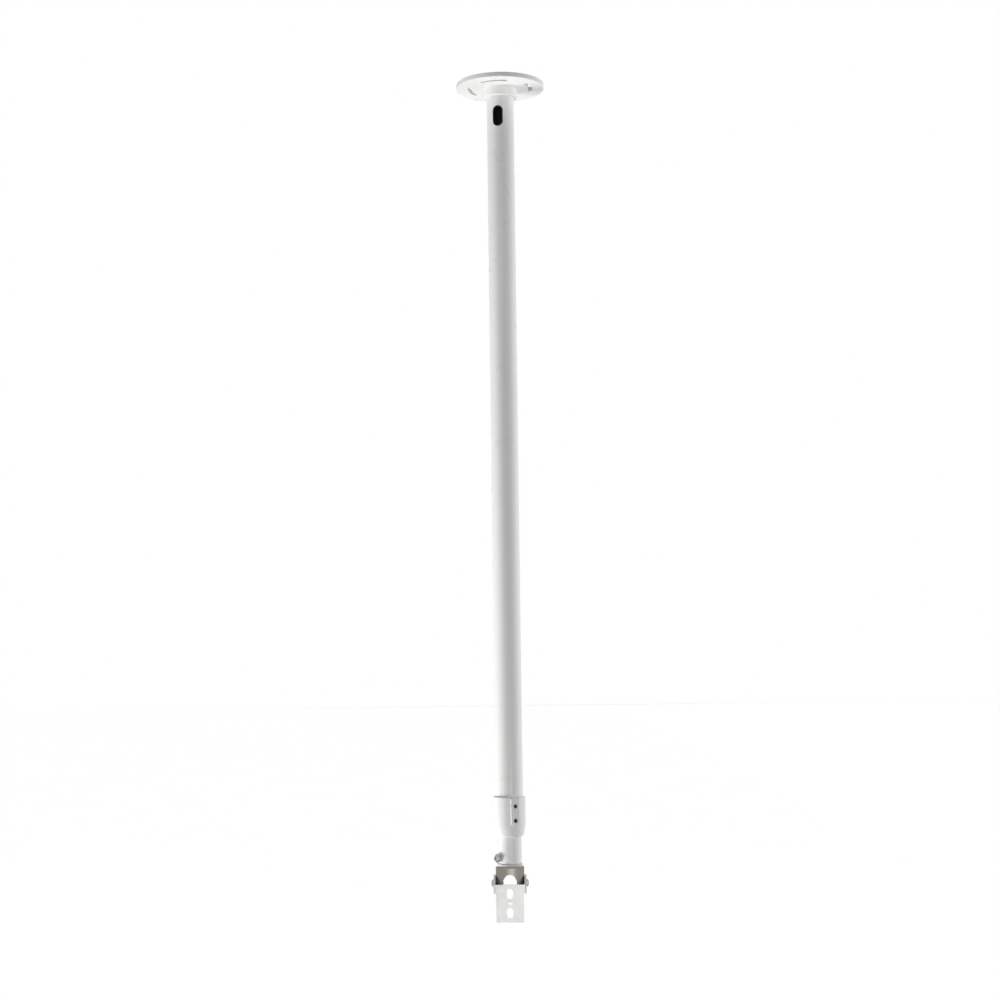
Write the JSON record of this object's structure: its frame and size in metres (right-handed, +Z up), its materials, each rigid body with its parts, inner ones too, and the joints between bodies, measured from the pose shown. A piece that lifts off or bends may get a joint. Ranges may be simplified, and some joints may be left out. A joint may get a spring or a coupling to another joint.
{
  "type": "ceiling pole mount",
  "caption": "Telescopic ceiling drop pole: round slotted flange, fixed tube with a cable slot, clamp collar, sliding inner tube, and a swivelling cup yoke with a tilting slotted plate.",
  "frame": {"origin": "centre of the flange's flat ceiling face", "axes": "+Z up into the ceiling, the pole hangs down -Z; +X along the tilt pivot; the display plate faces -Y"},
  "size_m": [0.13, 0.13, 1.2272],
  "materials": {
    "white_powder_coat": "semi-gloss powder coat",
    "satin_steel": "polished, slightly dark",
    "pale_steel": "pale satin zinc plate",
    "zinc_steel": "bright zinc plate",
    "dark_steel": "black oxide",
    "black_rubber": "matt",
    "natural_nylon": "matt",
    "grey_nylon": "satin"
  },
  "bodies": {
    "pole": {"ceiling_flange": "white_powder_coat", "flange_set_screws": "dark_steel", "outer_tube": "white_powder_coat", "cable_grommet": "black_rubber", "clamp_collar": "white_powder_coat", "collar_set_screws": "dark_steel", "clamp_shoe": "natural_nylon", "guide_bush": "natural_nylon"},
    "slider": {"glide_ring": "natural_nylon"},
    "inner": {"inner_tube": "white_powder_coat", "rivet_nut": "zinc_steel", "lock_screw": "zinc_steel", "lock_washer": "zinc_steel"},
    "yoke": {"swivel_spigot": "zinc_steel", "thrust_ring": "grey_nylon", "spigot_nut": "zinc_steel", "yoke_cup": "satin_steel", "pivot_bolt_left": "zinc_steel", "pivot_bolt_right": "zinc_steel", "friction_washers": "natural_nylon", "pivot_washers": "zinc_steel", "pivot_nuts": "zinc_steel"},
    "bracket": {"tilt_bracket": "pale_steel"}
  },
  "joints": [
    {"name": "pole_extend", "type": "slide", "parent": "pole", "child": "slider", "axis": [0, 0, -1], "range_m": [0, 0.25]},
    {"name": "inner_turn", "type": "hinge", "parent": "slider", "child": "inner", "pos_m": [0, 0, -0.9], "axis": [0, 0, 1], "continuous": true},
    {"name": "yoke_swivel", "type": "hinge", "parent": "inner", "child": "yoke", "pos_m": [0, 0, -1.138], "axis": [0, 0, 1], "continuous": true},
    {"name": "bracket_tilt", "type": "hinge", "parent": "yoke", "child": "bracket", "pos_m": [0, 0, -1.1741], "axis": [1, 0, 0], "range_deg": [-20, 90]}
  ]
}
